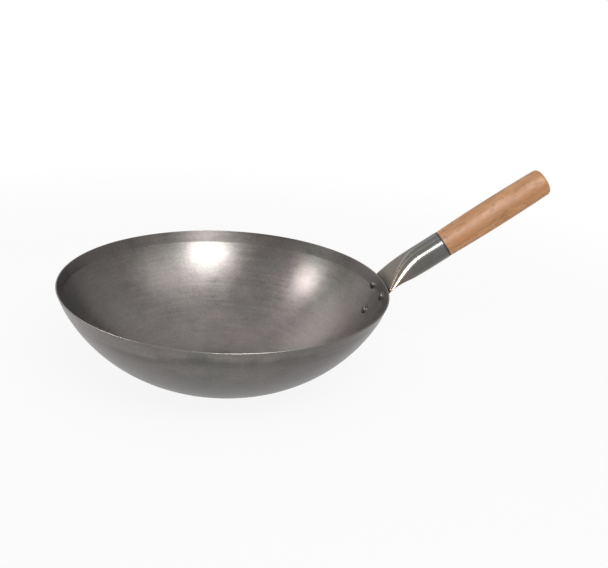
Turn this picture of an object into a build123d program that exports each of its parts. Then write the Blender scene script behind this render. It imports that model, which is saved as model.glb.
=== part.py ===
from build123d import *
import os
from math import asin, atan2, ceil, copysign, cos, degrees, pi, radians, sin, sqrt, tan

# A wok: a spun carbon steel bowl with one handle. The handle is a rolled sheet socket, riveted
# to the outside of the wall, that holds a turned wooden grip.
# Lengths are in millimetres and angles in degrees. The origin is the centre of the flat base,
# on the surface that the wok stands on. +Z is up and the handle points along +X.

os.makedirs("parts", exist_ok=True)

# Bowl
rim_radius = 178.0
bowl_depth = 104.4
base_radius = 42.0
bowl_sheet = 1.5
wall_foot_rise = 5.8
band_height = 13.0
band_lean = 21.3
band_crease_radius = 14.0
base_corner_radius = 60.0
rim_edge_radius = 0.6

# Socket: a blank of sheet that lies on the wall, leaves it at the rim and rolls up into a tube
socket_sheet = 1.5
socket_seat_gap = 0.2
plate_width = 56.0
plate_shoulder = 22.0
plate_tip_radius = 11.0
tube_radius = 15.7
tube_seam = 0.8
mouth_out = 63.0
mouth_up = 42.8
handle_rise = 34.35
neck_bend_radius = 85.0
fold_lead = 8.0
fold_reach = 2.0
fold_radius = 2.5
fold_angle = 85.0
flat_reach = 13.0
shut_reach = 54.0
narrowing_power = 1.2
rolling_power = 1.5
section_points = 61
section_spacing = 3.0

# Rivets: two side by side under the rim, and one below them on the plate's tip
rivet_shank_radius = 2.0
rivet_hole_gap = 0.05
rivet_head_radius = 5.3
rivet_head_height = 3.0
rivet_tail_radius = 4.0
rivet_tail_height = 1.4
rivet_tail_gap = 0.05
rivet_drop_upper = 12.5
rivet_drop_lower = 39.1
rivet_side_step = 17.7

# Grip
grip_length = 133.4
grip_foot_radius = 15.2
grip_belly_radius = 16.3
grip_belly_share = 0.45
grip_end_radius = 15.3
grip_end_rounding = 6.0
grip_shoulder_chamfer = 0.6
spigot_length = 34.0
spigot_gap = 0.15
spigot_tip_radius = 11.6
spigot_tip_chamfer = 1.5

# Nail that keeps the grip in the socket
nail_set_back = 12.0
nail_turn = -40.0
nail_length = 13.0
nail_shank_radius = 1.0
nail_point_length = 2.5
nail_point_radius = 0.2
nail_hole_gap = 0.05
nail_head_radius = 2.2
nail_head_height = 0.9
nail_head_gap = 0.05

overrun = 20.0


def polar(length, angle):
    """The step of a given length at an angle above the X axis, in the X-Z plane."""
    return Vector(length * cos(radians(angle)), 0, length * sin(radians(angle)))


# The wall's outline on the outside: a foot arc from the base's edge to the band, then the band
band_rise = 90 - band_lean
band_slant = band_height / cos(radians(band_lean))
rim = Vector(rim_radius, 0, bowl_depth)
band_foot = rim - polar(band_slant, band_rise)
base_edge = Vector(base_radius, 0, 0)
chord = band_foot - base_edge
chord_rise = degrees(atan2(chord.Z, chord.X))
wall_radius = chord.length / (2 * sin(radians(chord_rise - wall_foot_rise)))
wall_centre = base_edge + polar(wall_radius, wall_foot_rise + 90)
wall_top_rise = 2 * chord_rise - wall_foot_rise


def wall_corners(inset):
    """Corners of the wall's outline at a depth inside the outer face: base, band foot and rim."""
    arc_radius = wall_radius - inset
    base_step = sqrt(arc_radius ** 2 - (wall_centre.Z - inset) ** 2)
    base_corner = Vector(wall_centre.X + base_step, 0, inset)
    line_start = rim - Vector(inset / cos(radians(band_lean)), 0, 0)
    line_way = polar(1, band_rise)
    to_centre = wall_centre - line_start
    along = to_centre.dot(line_way)
    aside = (to_centre - line_way * along).length
    step_back = sqrt(arc_radius ** 2 - aside ** 2)
    foot_corner = line_start + line_way * (along - step_back)
    return base_corner, foot_corner, line_start


def wall_arc(start, end, inset):
    """The stretch of the wall's foot arc between two of its points."""
    middle_way = ((start + end) / 2 - wall_centre).normalized()
    return ThreePointArc(start, wall_centre + middle_way * (wall_radius - inset), end)


def round_corner(shape, corner, radius):
    """Round the corner of a flat outline that lies nearest to a point."""
    return fillet(shape.vertices().sort_by_distance(corner)[0], radius)


def make_bowl():
    outer = wall_corners(0)
    inner = wall_corners(bowl_sheet)
    outline = Wire([
        Line(Vector(0, 0, 0), outer[0]),
        wall_arc(outer[0], outer[1], 0),
        Line(outer[1], outer[2]),
        Line(outer[2], inner[2]),
        Line(inner[2], inner[1]),
        wall_arc(inner[1], inner[0], bowl_sheet),
        Line(inner[0], Vector(0, 0, bowl_sheet)),
        Line(Vector(0, 0, bowl_sheet), Vector(0, 0, 0)),
    ])
    profile = make_face(outline.edges())
    roundings = [
        (outer[0], base_corner_radius),
        (inner[0], base_corner_radius - bowl_sheet),
        (outer[1], band_crease_radius),
        (inner[1], band_crease_radius - bowl_sheet),
        (outer[2], rim_edge_radius),
        (inner[2], rim_edge_radius),
    ]
    for corner, radius in roundings:
        profile = round_corner(profile, corner, radius)
    return Rot(0, 0, 180) * revolve(profile, Axis.Z)


# The line that the socket's upper face follows at its middle, from the plate to the mouth
neck_foot = rim + polar(socket_seat_gap, band_rise - 90)
mouth = rim + Vector(mouth_out, 0, mouth_up)
mouth_top = mouth + polar(tube_radius, handle_rise + 90)
neck_turn = band_rise - handle_rise
to_mouth = mouth_top - neck_foot
reach_to_knee = to_mouth.dot(polar(1, handle_rise + 90)) / sin(radians(neck_turn))
knee = neck_foot + polar(reach_to_knee, band_rise)
knee_setback = neck_bend_radius * tan(radians(neck_turn / 2))
straight_neck = reach_to_knee - knee_setback
bent_neck = neck_bend_radius * radians(neck_turn)
straight_tube = (mouth_top - knee).length - knee_setback
neck_length = straight_neck + bent_neck + straight_tube


def on_wall(drop):
    """The outer face at a distance down from the rim along the wall, and its rise there."""
    if drop <= band_slant:
        return rim - polar(drop, band_rise), band_rise
    rise = wall_top_rise - degrees((drop - band_slant) / wall_radius)
    return wall_centre + polar(wall_radius, rise - 90), rise


def on_neck(reach):
    """The middle of the socket's upper face at a distance from the rim, and its rise there."""
    if reach <= straight_neck:
        return neck_foot + polar(reach, band_rise), band_rise
    if reach >= straight_neck + bent_neck:
        return mouth_top - polar(neck_length - reach, handle_rise), handle_rise
    rise = band_rise - degrees((reach - straight_neck) / neck_bend_radius)
    bend_start = neck_foot + polar(straight_neck, band_rise)
    bend_centre = bend_start + polar(neck_bend_radius, band_rise - 90)
    return bend_centre + polar(neck_bend_radius, rise + 90), rise


def sheet_section(middle, rise, seen_width, roll, roll_radius, hug):
    """A cut through the socket's sheet, square to its run. Its middle is flat, or hugs the wall at
    a curvature, and each side is rolled down through an angle at the roll radius. The middle
    point is on the upper face, and the seen width is the section's width from above."""
    half_flat = seen_width / 2 - roll_radius * sin(min(roll, pi / 2))
    half = half_flat + roll_radius * roll
    upward = polar(1, rise + 90)

    def spot(share, depth):
        """A point at a share of the half width from the middle, at a depth in the sheet."""
        run = min(abs(share) * half, half_flat)
        lean = run * hug
        turn = lean + (abs(share) * half - run) / roll_radius
        aside = run * (1 - lean ** 2 / 6) + roll_radius * (sin(turn) - sin(lean))
        down = run * lean / 2 + roll_radius * (cos(lean) - cos(turn))
        aside = copysign(aside - depth * sin(turn), share)
        return middle + Vector(0, aside, 0) - upward * (down + depth * cos(turn))

    steps = [index / (section_points - 1) for index in range(section_points)]
    upper = [spot(2 * step - 1, 0) for step in steps]
    lower = [spot(1 - 2 * step, socket_sheet) for step in steps]
    return make_face([
        Edge.make_spline(upper, parameters=steps),
        Edge.make_line(upper[-1], lower[0]),
        Edge.make_spline(lower, parameters=steps),
        Edge.make_line(lower[-1], upper[0]),
    ])


def eased(share, power):
    """A rise from 0 to 1 that stops smoothly. A higher power starts later."""
    share = min(max(share, 0), 1)
    return share ** power * (1 + power * (1 - share))


def socket_section(reach):
    """The socket's sheet at a distance beyond the rim, or below it where the distance is negative.
    The sheet hugs the wall, then its sides fold down, and it narrows and rolls into the tube."""
    wall_point, wall_rise = on_wall(max(-reach, 0))
    if reach < 0:
        middle, rise = wall_point + polar(socket_seat_gap, wall_rise - 90), wall_rise
    else:
        middle, rise = on_neck(reach)
    folded = eased((reach + fold_lead) / (fold_reach + fold_lead), 1)
    flattened = eased((reach + fold_lead) / (flat_reach + fold_lead), 1)
    beyond_share = reach / shut_reach
    fold = radians(fold_angle)
    full_roll = pi - tube_seam / (2 * tube_radius)
    roll = fold * folded + (full_roll - fold) * eased(beyond_share, rolling_power)
    roll_radius = fold_radius + (tube_radius - fold_radius) * eased(beyond_share, 1)
    narrowed = eased(beyond_share, narrowing_power)
    seen_width = plate_width + (2 * tube_radius - plate_width) * narrowed
    hug = -sin(radians(wall_rise)) / wall_point.X * (1 - flattened)
    return sheet_section(middle, rise, seen_width, roll, roll_radius, hug)


def wall_frame(drop, side_step):
    """A plane on the wall's outer face whose Z axis points straight out of the wall. Side step is
    how far to one side of the handle's middle it lies, on the same level."""
    point, rise = on_wall(drop)
    swing = degrees(asin(side_step / point.X))
    out = Plane(origin=point, x_dir=(0, 1, 0), z_dir=polar(1, rise - 90))
    return Rot(0, 0, swing) * out.location


rivet_places = {
    "rivet_upper_left": (rivet_drop_upper, rivet_side_step),
    "rivet_upper_right": (rivet_drop_upper, -rivet_side_step),
    "rivet_lower": (rivet_drop_lower, 0),
}


def make_plate_trim():
    """What is cut from the blank below the rim, to leave a tongue with a round tip."""
    tip = Pos(0, -rivet_drop_lower) * Circle(plate_tip_radius)
    shoulder = Line((-plate_width / 2, -plate_shoulder), (plate_width / 2, -plate_shoulder))
    tongue = make_hull(tip.edges() + shoulder.edges())
    around_bottom = -rivet_drop_lower - plate_tip_radius - overrun
    around_height = -plate_shoulder - around_bottom
    around = Rectangle(plate_width + overrun, around_height)
    around = Pos(0, around_bottom + around_height / 2) * around
    trim_plane = Plane(origin=rim, x_dir=(0, 1, 0), z_dir=polar(1, band_rise - 90))
    return extrude(trim_plane * (around - tongue), amount=band_slant + overrun, both=True)


def lofted_sheet(start, end):
    """The socket's sheet between two distances from the rim."""
    steps = ceil((end - start) / section_spacing)
    step = (end - start) / steps
    return loft([socket_section(start + index * step) for index in range(steps + 1)])


def make_socket():
    plate_end = rivet_drop_lower + plate_tip_radius + section_spacing
    lower_plate = lofted_sheet(-plate_end, -band_slant)
    upper_plate = lofted_sheet(-band_slant, -fold_lead)
    neck = lofted_sheet(-fold_lead, shut_reach)
    tube = extrude(socket_section(shut_reach), neck_length - shut_reach, dir=polar(1, handle_rise))
    socket = lower_plate + upper_plate + neck + tube - make_plate_trim()
    for drop, side_step in rivet_places.values():
        socket -= wall_frame(drop, side_step) * rivet_hole()
    nail_hole = Cylinder(nail_shank_radius + nail_hole_gap, overrun)
    return socket - nail_frame() * nail_hole


def rivet_hole():
    return Cylinder(rivet_shank_radius + rivet_hole_gap, 2 * overrun)


def domed_head(radius, height):
    """A low dome on the X-Y plane, as a slice of a ball."""
    ball_radius = (radius ** 2 + height ** 2) / (2 * height)
    ball = Pos(0, 0, height - ball_radius) * Sphere(ball_radius)
    return ball & Pos(0, 0, height / 2) * Cylinder(radius, height)


def make_rivet(drop, side_step, plain_bowl, socket):
    """A solid rivet: a domed head inside the bowl, a shank, and a flatter tail on the plate."""
    place = wall_frame(drop, side_step)
    seat = socket_seat_gap + socket_sheet + rivet_tail_gap
    tail = Pos(0, 0, seat) * domed_head(rivet_tail_radius, rivet_tail_height)
    head_sink = rivet_head_radius ** 2 / wall_radius
    head = Rot(180, 0, 0) * domed_head(rivet_head_radius, rivet_head_height + head_sink)
    seated_head = place * Pos(0, 0, head_sink - bowl_sheet) * head - plain_bowl
    shank_top = seat + rivet_tail_height / 2
    shank_bottom = -bowl_sheet - rivet_head_height / 2
    shank = Cylinder(rivet_shank_radius, shank_top - shank_bottom)
    shank = Pos(0, 0, (shank_top + shank_bottom) / 2) * shank
    return seated_head + place * (shank + tail) - socket


def grip_frame():
    """A plane at the socket's mouth whose Z axis runs out along the grip."""
    return Plane(origin=mouth, x_dir=(0, 1, 0), z_dir=polar(1, handle_rise)).location


def nail_frame():
    """A plane on the tube's outer face whose Z axis points straight out, where the nail goes in."""
    turned = grip_frame() * Pos(0, 0, -nail_set_back) * Rot(0, 0, nail_turn) * Rot(0, 90, 0)
    return turned * Pos(0, 0, tube_radius)


def make_grip():
    spigot_root_radius = tube_radius - socket_sheet - spigot_gap
    foot = (grip_foot_radius, grip_shoulder_chamfer)
    belly = (grip_belly_radius, grip_belly_share * grip_length)
    end = (grip_end_radius, grip_length)
    outline = [
        ThreePointArc(foot, belly, end),
        Polyline([
            end,
            (0, grip_length),
            (0, -spigot_length),
            (spigot_tip_radius - spigot_tip_chamfer, -spigot_length),
            (spigot_tip_radius, -spigot_length + spigot_tip_chamfer),
            (spigot_root_radius, 0),
            (grip_foot_radius - grip_shoulder_chamfer, 0),
            foot,
        ]),
    ]
    profile = make_face([edge for line in outline for edge in line.edges()])
    profile = round_corner(profile, Vector(grip_end_radius, grip_length), grip_end_rounding)
    grip = grip_frame() * revolve(Plane.XZ * profile, Axis.Z)
    hole = Pos(0, 0, -nail_length / 2) * Cylinder(nail_shank_radius, nail_length)
    return grip - nail_frame() * hole


def make_nail():
    """A round-headed nail. Its head lies on the tube and its point is in the wood."""
    head_sink = nail_head_radius ** 2 / tube_radius
    head = Pos(0, 0, -head_sink) * domed_head(nail_head_radius, nail_head_height + head_sink)
    under_head = Pos(0, 0, -nail_set_back) * Cylinder(tube_radius + nail_head_gap, overrun)
    seated_head = nail_frame() * head - grip_frame() * under_head
    shank_bottom = nail_point_length - nail_length
    shank_length = nail_head_height / 2 - shank_bottom
    shank = Pos(0, 0, shank_bottom + shank_length / 2) * Cylinder(nail_shank_radius, shank_length)
    point = Cone(nail_point_radius, nail_shank_radius, nail_point_length)
    point = Pos(0, 0, shank_bottom - nail_point_length / 2) * point
    return seated_head + nail_frame() * (shank + point)


bowl = make_bowl()
socket = make_socket()
nodes = {"handle_socket": socket, "wood_grip": make_grip(), "grip_nail": make_nail()}
for name, (drop, side_step) in rivet_places.items():
    nodes[name] = make_rivet(drop, side_step, bowl, socket)
for drop, side_step in rivet_places.values():
    bowl -= wall_frame(drop, side_step) * rivet_hole()
nodes["bowl"] = bowl

for name, solid in nodes.items():
    export_step(solid, f"parts/{name}.step")
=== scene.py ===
from math import cos, radians, sin

import bpy
from mathutils import Matrix, Vector


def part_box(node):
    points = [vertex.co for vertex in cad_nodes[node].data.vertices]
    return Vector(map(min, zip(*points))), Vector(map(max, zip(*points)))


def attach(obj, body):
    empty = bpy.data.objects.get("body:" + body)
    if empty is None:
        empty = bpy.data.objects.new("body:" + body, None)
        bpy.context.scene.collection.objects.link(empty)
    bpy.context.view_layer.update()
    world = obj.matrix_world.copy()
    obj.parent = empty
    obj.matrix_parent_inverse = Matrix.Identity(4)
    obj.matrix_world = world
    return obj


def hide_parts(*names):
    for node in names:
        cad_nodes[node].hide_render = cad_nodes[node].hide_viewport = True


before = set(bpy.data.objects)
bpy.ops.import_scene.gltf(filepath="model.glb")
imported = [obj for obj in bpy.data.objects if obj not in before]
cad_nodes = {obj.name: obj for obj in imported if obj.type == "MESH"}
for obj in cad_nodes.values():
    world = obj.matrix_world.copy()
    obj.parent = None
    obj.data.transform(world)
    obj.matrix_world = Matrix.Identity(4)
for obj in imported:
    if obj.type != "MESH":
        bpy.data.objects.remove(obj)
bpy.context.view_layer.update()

# Looks of a carbon steel wok: satin steel with circular brushing, and a beech grip.
# Lengths are in metres. +Z is up, the handle points along +X, and the bowl stands at the origin.

# Camera: angles in degrees, the heading from +X towards +Y and the tilt below level
camera_place = Vector((-0.13668, -0.99776, 0.49776))
camera_heading = 77.35
camera_tilt = 21.16
camera_roll = 4.0
camera_lens_mm = 59.2
camera_sensor_mm = 36.0

# Lamps: azimuth and elevation in degrees as seen from their aim, width, height, power, colour
lamp_aim = Vector((0.03, 0.05, 0.08))
lamp_distance = 1.5
# These show in gloss alone, and make the highlights on the steel
gloss_lamps = {
    "main_lamp": (-83.0, 43.5, 0.78, 0.38, 27.0, (1.0, 0.995, 0.985)),
    "halo_lamp": (-50.0, 52.0, 1.60, 0.95, 9.0, (0.98, 1.0, 1.0)),
    "left_lamp": (177.0, 41.0, 0.38, 0.34, 8.8, (1.0, 0.94, 0.94)),
    "side_lamp": (128.0, 34.0, 1.30, 0.60, 2.6, (1.0, 0.97, 0.96)),
}
# This lights matt surfaces alone, so that a colour there comes out about as it is written
matt_lamps = {
    "plain_lamp": (-83.0, 43.5, 0.90, 0.60, 9.0, (1.0, 0.995, 0.985)),
}
# The world's strength as a light on matt surfaces
sky_light = 0.5

# Floor: how white the camera sees it near the bowl, and the reaches between which it turns white
floor_size = 40.0
floor_near_white = 0.90
floor_shade_reach = 0.5
floor_white_reach = 0.9
floor_grain_scale = 60.0
floor_tones = [(0.0, (0.86, 0.86, 0.86)), (1.0, (0.9, 0.9, 0.9))]

white = (1.0, 1.0, 1.0, 1.0)

# The values between which nearly all of a noise lies
noise_range = (0.3, 0.7)

# The highest value that a curve node is asked for
curve_top = 1.5

# Which sockets of a Mix node are the ones for colours
mix_factor, mix_first, mix_second, mix_result = 0, 6, 7, 2


class NodeTree:
    """The node tree of a new material or world, with short calls to add nodes and links."""

    def __init__(self, owner):
        owner.use_nodes = True
        self.owner = owner
        self.nodes = owner.node_tree.nodes
        self.links = owner.node_tree.links
        self.nodes.clear()

    def add(self, kind, settings=None, values=(), **inputs):
        """A new node, with its sockets fed in order from values, or by name."""
        node = self.nodes.new(kind)
        for key, value in (settings or {}).items():
            setattr(node, key, value)
        for index, value in enumerate(values):
            self.feed(node, index, value)
        for key, value in inputs.items():
            self.feed(node, key.replace("_", " "), value)
        return node

    def feed(self, node, socket, value):
        """Links a socket to another node's output, or sets a value on it."""
        if isinstance(value, bpy.types.NodeSocket):
            self.links.new(value, node.inputs[socket])
        else:
            node.inputs[socket].default_value = value

    def maths(self, operation, *values):
        return self.add("ShaderNodeMath", {"operation": operation}, values).outputs[0]

    def times(self, product, *others):
        """The product of two or more values."""
        for other in others:
            product = self.maths("MULTIPLY", product, other)
        return product

    def combine(self, x, y, z):
        return self.add("ShaderNodeCombineXYZ", X=x, Y=y, Z=z).outputs[0]

    def place(self):
        """Where a point of the surface lies."""
        return self.add("ShaderNodeTexCoord").outputs["Object"]

    def scaled(self, vector, scale):
        return self.add("ShaderNodeMapping", Vector=vector, Scale=scale).outputs[0]

    def noise(self, vector, scale=1.0, detail=3.0, roughness=0.5):
        return self.add("ShaderNodeTexNoise", Vector=vector, Scale=scale, Detail=detail,
                        Roughness=roughness).outputs[0]

    def spread(self, value, low, high, new_low, new_high):
        """Maps a value from one range to another, without going past it."""
        node = self.add("ShaderNodeMapRange", values=(value, low, high, new_low, new_high))
        return node.outputs[0]

    def vary(self, noise, low, high):
        """Maps a noise's usual values to a range."""
        return self.spread(noise, *noise_range, low, high)

    def ramp(self, value, stops):
        """A colour read from stops, each a place and a colour."""
        node = self.add("ShaderNodeValToRGB", values=(value,))
        elements = node.color_ramp.elements
        for place, _ in stops[1:-1]:
            elements.new(place)
        for element, (place, colour) in zip(elements, stops):
            element.position = place
            element.color = (*colour, 1.0)
        return node.outputs[0]

    def curve(self, value, points):
        """A value read from a curve through points."""
        node = self.add("ShaderNodeFloatCurve", Value=value)
        line = node.mapping.curves[0]
        for x, y in points[1:-1]:
            line.points.new(x, y / curve_top)
        for end in (0, -1):
            x, y = points[end]
            line.points[end].location = (x, y / curve_top)
        node.mapping.update()
        return self.times(node.outputs[0], curve_top)

    def blend(self, factor, first, second, how="MIX"):
        """Mixes or multiplies two colours, by a factor from 0 to 1."""
        node = self.add("ShaderNodeMix", {"data_type": "RGBA", "blend_type": how})
        for socket, value in ((mix_factor, factor), (mix_first, first), (mix_second, second)):
            if isinstance(value, tuple):
                value = (*value, 1.0)
            self.feed(node, socket, value)
        return node.outputs[mix_result]

    def shaded(self, colour, shade):
        """A colour times a shade."""
        return self.blend(1.0, colour, self.combine(shade, shade, shade), "MULTIPLY")

    def bump(self, height, strength, distance):
        node = self.add("ShaderNodeBump", Strength=strength, Distance=distance, Height=height)
        return node.outputs[0]

    def seen(self):
        """1 for the camera's rays, also by way of gloss and glass, and 0 for matt light."""
        path = self.add("ShaderNodeLightPath").outputs
        straight_or_gloss = self.maths("MAXIMUM", path["Is Camera Ray"], path["Is Glossy Ray"])
        return self.maths("MAXIMUM", straight_or_gloss, path["Is Transmission Ray"])

    def finish(self, shader, kind="ShaderNodeOutputMaterial"):
        """Joins a shader to the output, and gives back the material or world."""
        self.links.new(shader.outputs[0], self.add(kind).inputs[0])
        return self.owner


# Spun steel's brushing: how fast it changes round the bowl, and along the wall per metre
fine_brushing = (3.0, 1100.0)
broad_brushing = (2.0, 210.0)
# Within this distance of the axis, the direction round the bowl fades out
axis_width = 0.002
# How high the brushing stands, as strength and distance, and how far it stretches the gloss
brushing_bump = (0.14, 0.0001)
brushing_stretch = 0.4
# The gloss stretches across the brushing, which is a quarter turn from along it
across_brushing = 0.25

# Spun steel's patterns: their scales per metre, and how far each darkens and lightens it
spun_patch_scale = 11.0
smudge_scale = 45.0
spun_grain_scale = 420.0
broad_line_shades = (0.95, 1.05)
fine_line_shades = (0.93, 1.07)
spun_grain_shades = (0.88, 1.12)
smudge_range = (0.3, 0.6)
smudge_shades = (0.86, 1.02)
# How rough the broad lines leave it, and what the smudges add to that
spun_roughness = (0.30, 0.345)
smudge_roughness = (-0.02, 0.03)
# Its tints, by the value of the patches' noise
spun_tints = [
    (0.32, (0.156, 0.155, 0.145)),
    (0.46, (0.170, 0.160, 0.149)),
    (0.56, (0.173, 0.156, 0.151)),
    (0.68, (0.166, 0.157, 0.147)),
]

# The base's own tint, how much of it there is, and the shares of the depth where it fades out
base_tint = (0.178, 0.158, 0.152)
base_tint_amount = 0.7
base_tint_shares = (0.05, 0.35)

# Painted light and shade on the steel by height, from the base to the rim: (share of the depth,
# brightness).
# Inside, painted shade and reflection darken it towards the rim. Outside, painted shade darkens the
# bottom edge and below the band, and painted light brightens the rim
bowl_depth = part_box("bowl")[1][2]
inner_painted_light_shares = [
    (0.0, 1.12),
    (0.15, 1.05),
    (0.35, 0.88),
    (0.55, 0.79),
    (0.8, 0.67),
    (0.9, 0.6),
    (1.0, 0.55),
]
outer_painted_light_shares = [
    (0.0, 0.45),
    (0.2, 0.61),
    (0.42, 0.79),
    (0.62, 0.9),
    (0.78, 0.94),
    (0.845, 0.83),
    (0.93, 1.12),
    (1.0, 1.1),
]
# How far up and down the painted light and shade wander
painted_light_wander = 0.008

# Painted light inside, high up by the rivets, and painted shade outside, darker towards the handle.
# Sectors are between two cosines of the angle from the handle
rivet_sector = (0.9, 0.985)
rivet_painted_light_shares = (0.6, 0.85)
rivet_painted_light_gain = 0.8
outer_painted_shade_sector = (0.0, 0.6)
outer_painted_shade = 0.68

# How far a surface leans towards or away from the axis where the inside turns to the outside
lean_range = 0.1


def bowl_painted_light(tree, around_x, around_y, share):
    """Painted light and shade on the steel, which differ inside and outside."""
    facing = tree.add("ShaderNodeTexCoord").outputs["Normal"]
    outward = tree.combine(around_x, around_y, 0.0)
    lean = tree.add("ShaderNodeVectorMath", {"operation": "DOT_PRODUCT"}, (facing, outward))
    inside = tree.spread(lean.outputs["Value"], -lean_range, lean_range, 1.0, 0.0)
    outside = tree.maths("SUBTRACT", 1.0, inside)
    # Painted light by the rivets inside, and painted shade towards the handle outside
    painted_light_by_rivets = tree.times(tree.spread(around_x, *rivet_sector, 0.0, 1.0),
                           tree.spread(share, *rivet_painted_light_shares, 0.0, rivet_painted_light_gain))
    inner = tree.times(tree.curve(share, inner_painted_light_shares), tree.maths("ADD", painted_light_by_rivets, 1.0))
    outer = tree.times(tree.curve(share, outer_painted_light_shares),
                       tree.spread(around_x, *outer_painted_shade_sector, 1.0, outer_painted_shade))
    return tree.maths("ADD", tree.times(inside, inner), tree.times(outside, outer))


def bowl_steel():
    """Satin spun steel: fine circular brushing, faint warm tints, small smudges, and painted light
    and shade by height.
    """
    tree = NodeTree(bpy.data.materials.new("bowl_steel"))
    place = tree.place()
    x, y, z = tree.add("ShaderNodeSeparateXYZ", Vector=place).outputs
    reach = tree.maths("SQRT", tree.maths("ADD", tree.times(x, x), tree.times(y, y)))
    safe_reach = tree.maths("MAXIMUM", reach, axis_width)
    around_x = tree.maths("DIVIDE", x, safe_reach)
    around_y = tree.maths("DIVIDE", y, safe_reach)
    along = tree.maths("ADD", reach, z)

    def rings(around_scale, along_scale):
        """Coordinates in which a noise becomes lines round the bowl."""
        return tree.combine(tree.times(around_x, around_scale),
                            tree.times(around_y, around_scale), tree.times(along, along_scale))

    fine_lines = tree.noise(rings(*fine_brushing), detail=4.0, roughness=0.6)
    broad_lines = tree.noise(rings(*broad_brushing), roughness=0.55)
    patches = tree.noise(place, spun_patch_scale, detail=4.0, roughness=0.55)
    smudges = tree.noise(place, smudge_scale, detail=4.0, roughness=0.6)
    grain = tree.noise(place, spun_grain_scale, roughness=0.65)

    height = tree.maths("ADD", z, tree.vary(patches, -painted_light_wander, painted_light_wander))
    share = tree.maths("DIVIDE", height, bowl_depth)
    base_amount = tree.spread(share, *base_tint_shares, base_tint_amount, 0.0)
    tint = tree.blend(base_amount, tree.ramp(patches, spun_tints), base_tint)
    # The last factor is painted light and shade by height, inside and outside
    shade = tree.times(tree.vary(broad_lines, *broad_line_shades),
                       tree.vary(fine_lines, *fine_line_shades),
                       tree.vary(grain, *spun_grain_shades),
                       tree.spread(smudges, *smudge_range, *smudge_shades),
                       bowl_painted_light(tree, around_x, around_y, share))
    roughness = tree.maths("ADD", tree.vary(broad_lines, *spun_roughness),
                           tree.vary(smudges, *smudge_roughness))
    tangent = tree.add("ShaderNodeTangent", {"direction_type": "RADIAL", "axis": "Z"})
    shader = tree.add("ShaderNodeBsdfPrincipled", Base_Color=tree.shaded(tint, shade),
                      Metallic=1.0, Roughness=roughness, Anisotropic=brushing_stretch,
                      Anisotropic_Rotation=across_brushing, Tangent=tangent.outputs[0],
                      Normal=tree.bump(fine_lines, *brushing_bump))
    return tree.finish(shader)


# The handle's slope, and how far out along it the socket reaches
handle_slope = radians(34.35)
mouth_reach = max(vertex.co.x * cos(handle_slope) + vertex.co.z * sin(handle_slope)
                  for vertex in cad_nodes["handle_socket"].data.vertices)


def handle_lengthwise(tree, place):
    """Coordinates turned so that the first one runs out along the handle."""
    turn = (0.0, handle_slope, 0.0)
    return tree.add("ShaderNodeMapping", Vector=place, Rotation=turn).outputs[0]


def handle_reach(tree, lengthwise):
    """How far out along the handle a point lies."""
    return tree.add("ShaderNodeSeparateXYZ", Vector=lengthwise).outputs[0]


# Rolled steel: scratches that run round the tube, and patterns, with their scales per metre
scratch_scales = (700.0, 25.0, 25.0)
socket_patch_scale = 55.0
speck_scale = 520.0
socket_shades = (0.95, 1.05)
socket_roughness = (0.23, 0.27)
socket_bump = (0.05, 0.0003)
# How far the gloss stretches along the handle, and how far its direction wanders
grinding_stretch = 0.75
grinding_wander = 0.05

# Heat tints from the rim to the mouth: between which reaches they lie, and how far they wander
heat_reaches = (0.205, 0.285)
heat_wander = 0.16
# By how far on the heat is, from 0 at the rim to 1 at the mouth
heat_tints = [
    (0.0, (0.150, 0.126, 0.098)),
    (0.22, (0.155, 0.132, 0.106)),
    (0.36, (0.152, 0.130, 0.124)),
    (0.5, (0.134, 0.129, 0.114)),
    (0.72, (0.130, 0.126, 0.116)),
    (0.86, (0.136, 0.130, 0.127)),
    (1.0, (0.140, 0.138, 0.134)),
]


def socket_steel():
    """Rolled steel ground around the tube: brown by the rim and grey at the mouth."""
    tree = NodeTree(bpy.data.materials.new("socket_steel"))
    place = tree.place()
    lengthwise = handle_lengthwise(tree, place)
    scratches = tree.noise(tree.scaled(lengthwise, scratch_scales), roughness=0.55)
    patches = tree.noise(place, socket_patch_scale)
    specks = tree.noise(place, speck_scale, roughness=0.6)

    heat = tree.maths("ADD", tree.spread(handle_reach(tree, lengthwise), *heat_reaches, 0.0, 1.0),
                      tree.vary(patches, -heat_wander, heat_wander))
    shade = tree.times(tree.vary(scratches, *socket_shades), tree.vary(specks, *socket_shades))
    wander = tree.vary(patches, -grinding_wander, grinding_wander)
    tangent = tree.combine(cos(handle_slope), wander, sin(handle_slope))
    shader = tree.add("ShaderNodeBsdfPrincipled", Metallic=1.0,
                      Base_Color=tree.shaded(tree.ramp(heat, heat_tints), shade),
                      Roughness=tree.vary(patches, *socket_roughness),
                      Anisotropic=grinding_stretch, Tangent=tangent,
                      Normal=tree.bump(patches, *socket_bump))
    return tree.finish(shader)


# Rivet steel: its dents' scale per metre, and its tints by the value of their noise
dent_scale = 500.0
dent_tints = [(0.3, (0.055, 0.053, 0.052)), (0.65, (0.09, 0.086, 0.084))]
dent_bump = (0.2, 0.0002)
rivet_roughness = (0.26, 0.36)


def rivet_steel():
    """Plain dark steel with small dents and specks."""
    tree = NodeTree(bpy.data.materials.new("rivet_steel"))
    dents = tree.noise(tree.place(), dent_scale)
    shader = tree.add("ShaderNodeBsdfPrincipled", Metallic=1.0,
                      Base_Color=tree.ramp(dents, dent_tints),
                      Roughness=tree.vary(dents, *rivet_roughness),
                      Normal=tree.bump(dents, *dent_bump))
    return tree.finish(shader)


# Beech: the scales of its patterns along the grip and across it, per metre
streak_scales = (7.0, 150.0, 150.0)
cloud_scales = (30.0, 75.0, 75.0)
spot_scales = (75.0, 170.0, 170.0)
fleck_scales = (170.0, 900.0, 900.0)
# How many times finer the blotches are than the clouds
blotch_scale = 2.3

# The streaks' tones, by the value of their noise
streak_tones = [
    (0.3, (0.480, 0.216, 0.092)),
    (0.5, (0.556, 0.272, 0.124)),
    (0.7, (0.596, 0.312, 0.158)),
]
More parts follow.
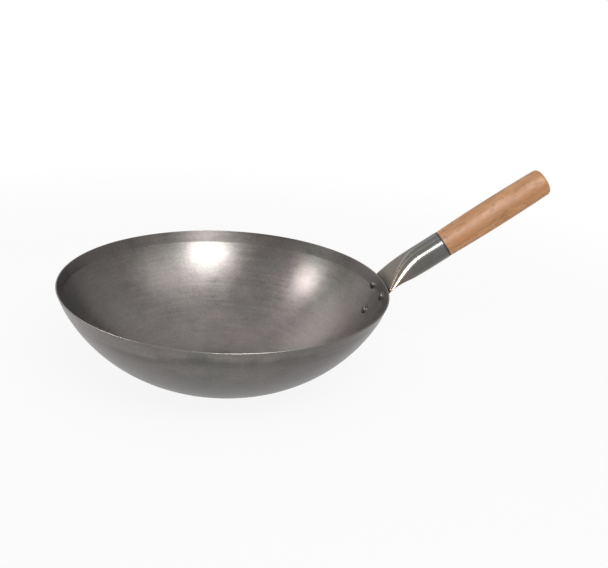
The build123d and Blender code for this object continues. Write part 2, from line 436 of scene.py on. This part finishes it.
# Over them, each pattern's tone, the noise's values where it comes in, and its strongest share
blotch_tone = (0.500, 0.216, 0.064)
blotch_range = (0.42, 0.62)
blotch_amount = 0.55
cloud_tone = (0.550, 0.330, 0.186)
cloud_range = (0.5, 0.68)
cloud_amount = 0.5
spot_tone = (0.350, 0.150, 0.052)
spot_range = (0.58, 0.7)
spot_amount = 0.75

# The clouds also darken and lighten the wood, and the flecks darken it
cloud_shade_range = (0.36, 0.64)
cloud_shades = (0.88, 1.09)
fleck_range = (0.28, 0.4)
fleck_shade = 0.84
streak_roughness = (0.62, 0.5)
streak_bump = (0.2, 0.0002)

# Painted shade in the gap round the grip at the socket's mouth, and how far it takes to fade out
gap_shade_length = 0.0014
gap_shade_fade = 0.0012
gap_shade_darkest = 0.05


def grip_wood():
    """Bare sanded beech: straight streaks along the grip, clouds, blotches, dark spots, flecks, and
    painted shade at the socket's mouth.
    """
    tree = NodeTree(bpy.data.materials.new("grip_wood"))
    lengthwise = handle_lengthwise(tree, tree.place())
    streaks = tree.noise(tree.scaled(lengthwise, streak_scales), detail=4.0, roughness=0.55)
    cloudy = tree.scaled(lengthwise, cloud_scales)
    clouds = tree.noise(cloudy, roughness=0.55)
    blotches = tree.noise(cloudy, blotch_scale, roughness=0.6)
    flecks = tree.noise(tree.scaled(lengthwise, fleck_scales), detail=2.0)
    spots = tree.noise(tree.scaled(lengthwise, spot_scales))

    tone = tree.ramp(streaks, streak_tones)
    for pattern, limits, amount, colour in (
        (blotches, blotch_range, blotch_amount, blotch_tone),
        (clouds, cloud_range, cloud_amount, cloud_tone),
        (spots, spot_range, spot_amount, spot_tone),
    ):
        tone = tree.blend(tree.spread(pattern, *limits, 0.0, amount), tone, colour)

    # Painted shade in the gap round the grip at the socket's mouth
    gap_shade_start = mouth_reach + gap_shade_length
    painted_gap_shade = tree.spread(handle_reach(tree, lengthwise), gap_shade_start, gap_shade_start + gap_shade_fade,
                        gap_shade_darkest, 1.0)
    shade = tree.times(tree.spread(clouds, *cloud_shade_range, *cloud_shades),
                       tree.spread(flecks, *fleck_range, fleck_shade, 1.0), painted_gap_shade)
    shader = tree.add("ShaderNodeBsdfPrincipled", Base_Color=tree.shaded(tone, shade),
                      Roughness=tree.vary(streaks, *streak_roughness),
                      Normal=tree.bump(streaks, *streak_bump))
    return tree.finish(shader)


def put(name, data):
    """A new object in the scene."""
    piece = bpy.data.objects.new(name, data)
    bpy.context.scene.collection.objects.link(piece)
    return piece


# How far from the upright plane through the handle a corner still counts as on it
seam_width = 0.00001


def smooth_bowl():
    """The CAD bowl's surface again, shaded smoothly across the line where its turned faces meet."""
    source = cad_nodes["bowl"]
    mesh = source.data.copy()
    mesh.name = "bowl_smooth"
    normals = []
    for corner, normal in zip(mesh.loops, mesh.corner_normals):
        place = mesh.vertices[corner.vertex_index].co
        facing = normal.vector.copy()
        if place.x < 0 and abs(place.y) < seam_width:
            facing.y = 0.0
            facing.normalize()
        normals.append(facing)
    mesh.normals_split_custom_set(normals)
    piece = put("bowl_smooth", mesh)
    piece.matrix_world = source.matrix_world.copy()
    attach(piece, "root")
    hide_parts("bowl")
    return piece


def dress(piece, material):
    """Gives a piece a material in place of its own."""
    for slot in piece.material_slots:
        slot.material = material


def direction(azimuth, elevation):
    """A unit vector at an azimuth from +X towards +Y and an elevation above level, in degrees."""
    azimuth, elevation = radians(azimuth), radians(elevation)
    level = cos(elevation)
    return Vector((level * cos(azimuth), level * sin(azimuth), sin(elevation)))


def lamp(name, azimuth, elevation, width, height, power, colour, in_gloss):
    """A soft oval lamp that faces the bowl. It either shows in gloss or lights matt surfaces."""
    light = bpy.data.lights.new(name, "AREA")
    light.shape = "ELLIPSE"
    light.size = width
    light.size_y = height
    light.energy = power
    light.color = colour
    piece = put(name, light)
    away = direction(azimuth, elevation)
    piece.location = lamp_aim + away * lamp_distance
    piece.rotation_euler = away.to_track_quat("Z", "Y").to_euler()
    piece.visible_glossy = in_gloss
    piece.visible_diffuse = not in_gloss


def make_world():
    """A white background that gloss shows too, and a softer light for everything else."""
    world = bpy.data.worlds.new("studio")
    bpy.context.scene.world = world
    tree = NodeTree(world)
    strength = tree.spread(tree.seen(), 0.0, 1.0, sky_light, 1.0)
    background = tree.add("ShaderNodeBackground", Color=white, Strength=strength)
    tree.finish(background, "ShaderNodeOutputWorld")


def floor_white():
    """Matt white that the camera sees as nearly white near the bowl and as white further out."""
    tree = NodeTree(bpy.data.materials.new("floor_white"))
    place = tree.place()
    tone = tree.ramp(tree.noise(place, floor_grain_scale), floor_tones)
    matt = tree.add("ShaderNodeBsdfDiffuse", Color=tone)
    glow = tree.add("ShaderNodeEmission", Color=white, Strength=1.0)
    reach = tree.add("ShaderNodeVectorMath", {"operation": "LENGTH"}, Vector=place)
    glow_share = tree.spread(reach.outputs["Value"], floor_shade_reach, floor_white_reach,
                             floor_near_white, 1.0)
    share = tree.times(tree.seen(), glow_share)
    mixed = tree.add("ShaderNodeMixShader", values=(share, matt.outputs[0], glow.outputs[0]))
    return tree.finish(mixed)


def make_floor():
    """A plain floor that keeps the object's shadow."""
    half = floor_size / 2
    mesh = bpy.data.meshes.new("floor")
    corners = [(-half, -half, 0), (half, -half, 0), (half, half, 0), (-half, half, 0)]
    mesh.from_pydata(corners, [], [(0, 1, 2, 3)])
    mesh.materials.append(floor_white())
    floor = put("floor", mesh)


def make_camera():
    """A camera at the photograph's viewing angle."""
    heading, tilt, roll = radians(camera_heading), radians(camera_tilt), radians(camera_roll)
    ahead = Vector((cos(heading) * cos(tilt), sin(heading) * cos(tilt), -sin(tilt)))
    level_right = Vector((sin(heading), -cos(heading), 0))
    level_up = level_right.cross(ahead)
    right = level_right * cos(roll) + level_up * sin(roll)
    up = level_up * cos(roll) - level_right * sin(roll)
    camera = put("camera", bpy.data.cameras.new("camera"))
    camera.data.sensor_width = camera_sensor_mm
    camera.data.lens = camera_lens_mm
    turn = Matrix((right, up, -ahead)).transposed().to_4x4()
    camera.matrix_world = Matrix.Translation(camera_place) @ turn
    bpy.context.scene.camera = camera


make_camera()
make_world()
make_floor()
for name, values in gloss_lamps.items():
    lamp(name, *values, in_gloss=True)
for name, values in matt_lamps.items():
    lamp(name, *values, in_gloss=False)

dress(smooth_bowl(), bowl_steel())
dress(cad_nodes["handle_socket"], socket_steel())
dress(cad_nodes["wood_grip"], grip_wood())
rivet_material = rivet_steel()
for node in ("rivet_upper_left", "rivet_upper_right", "rivet_lower", "grip_nail"):
    dress(cad_nodes[node], rivet_material)

bpy.context.scene.view_settings.view_transform = "Standard"
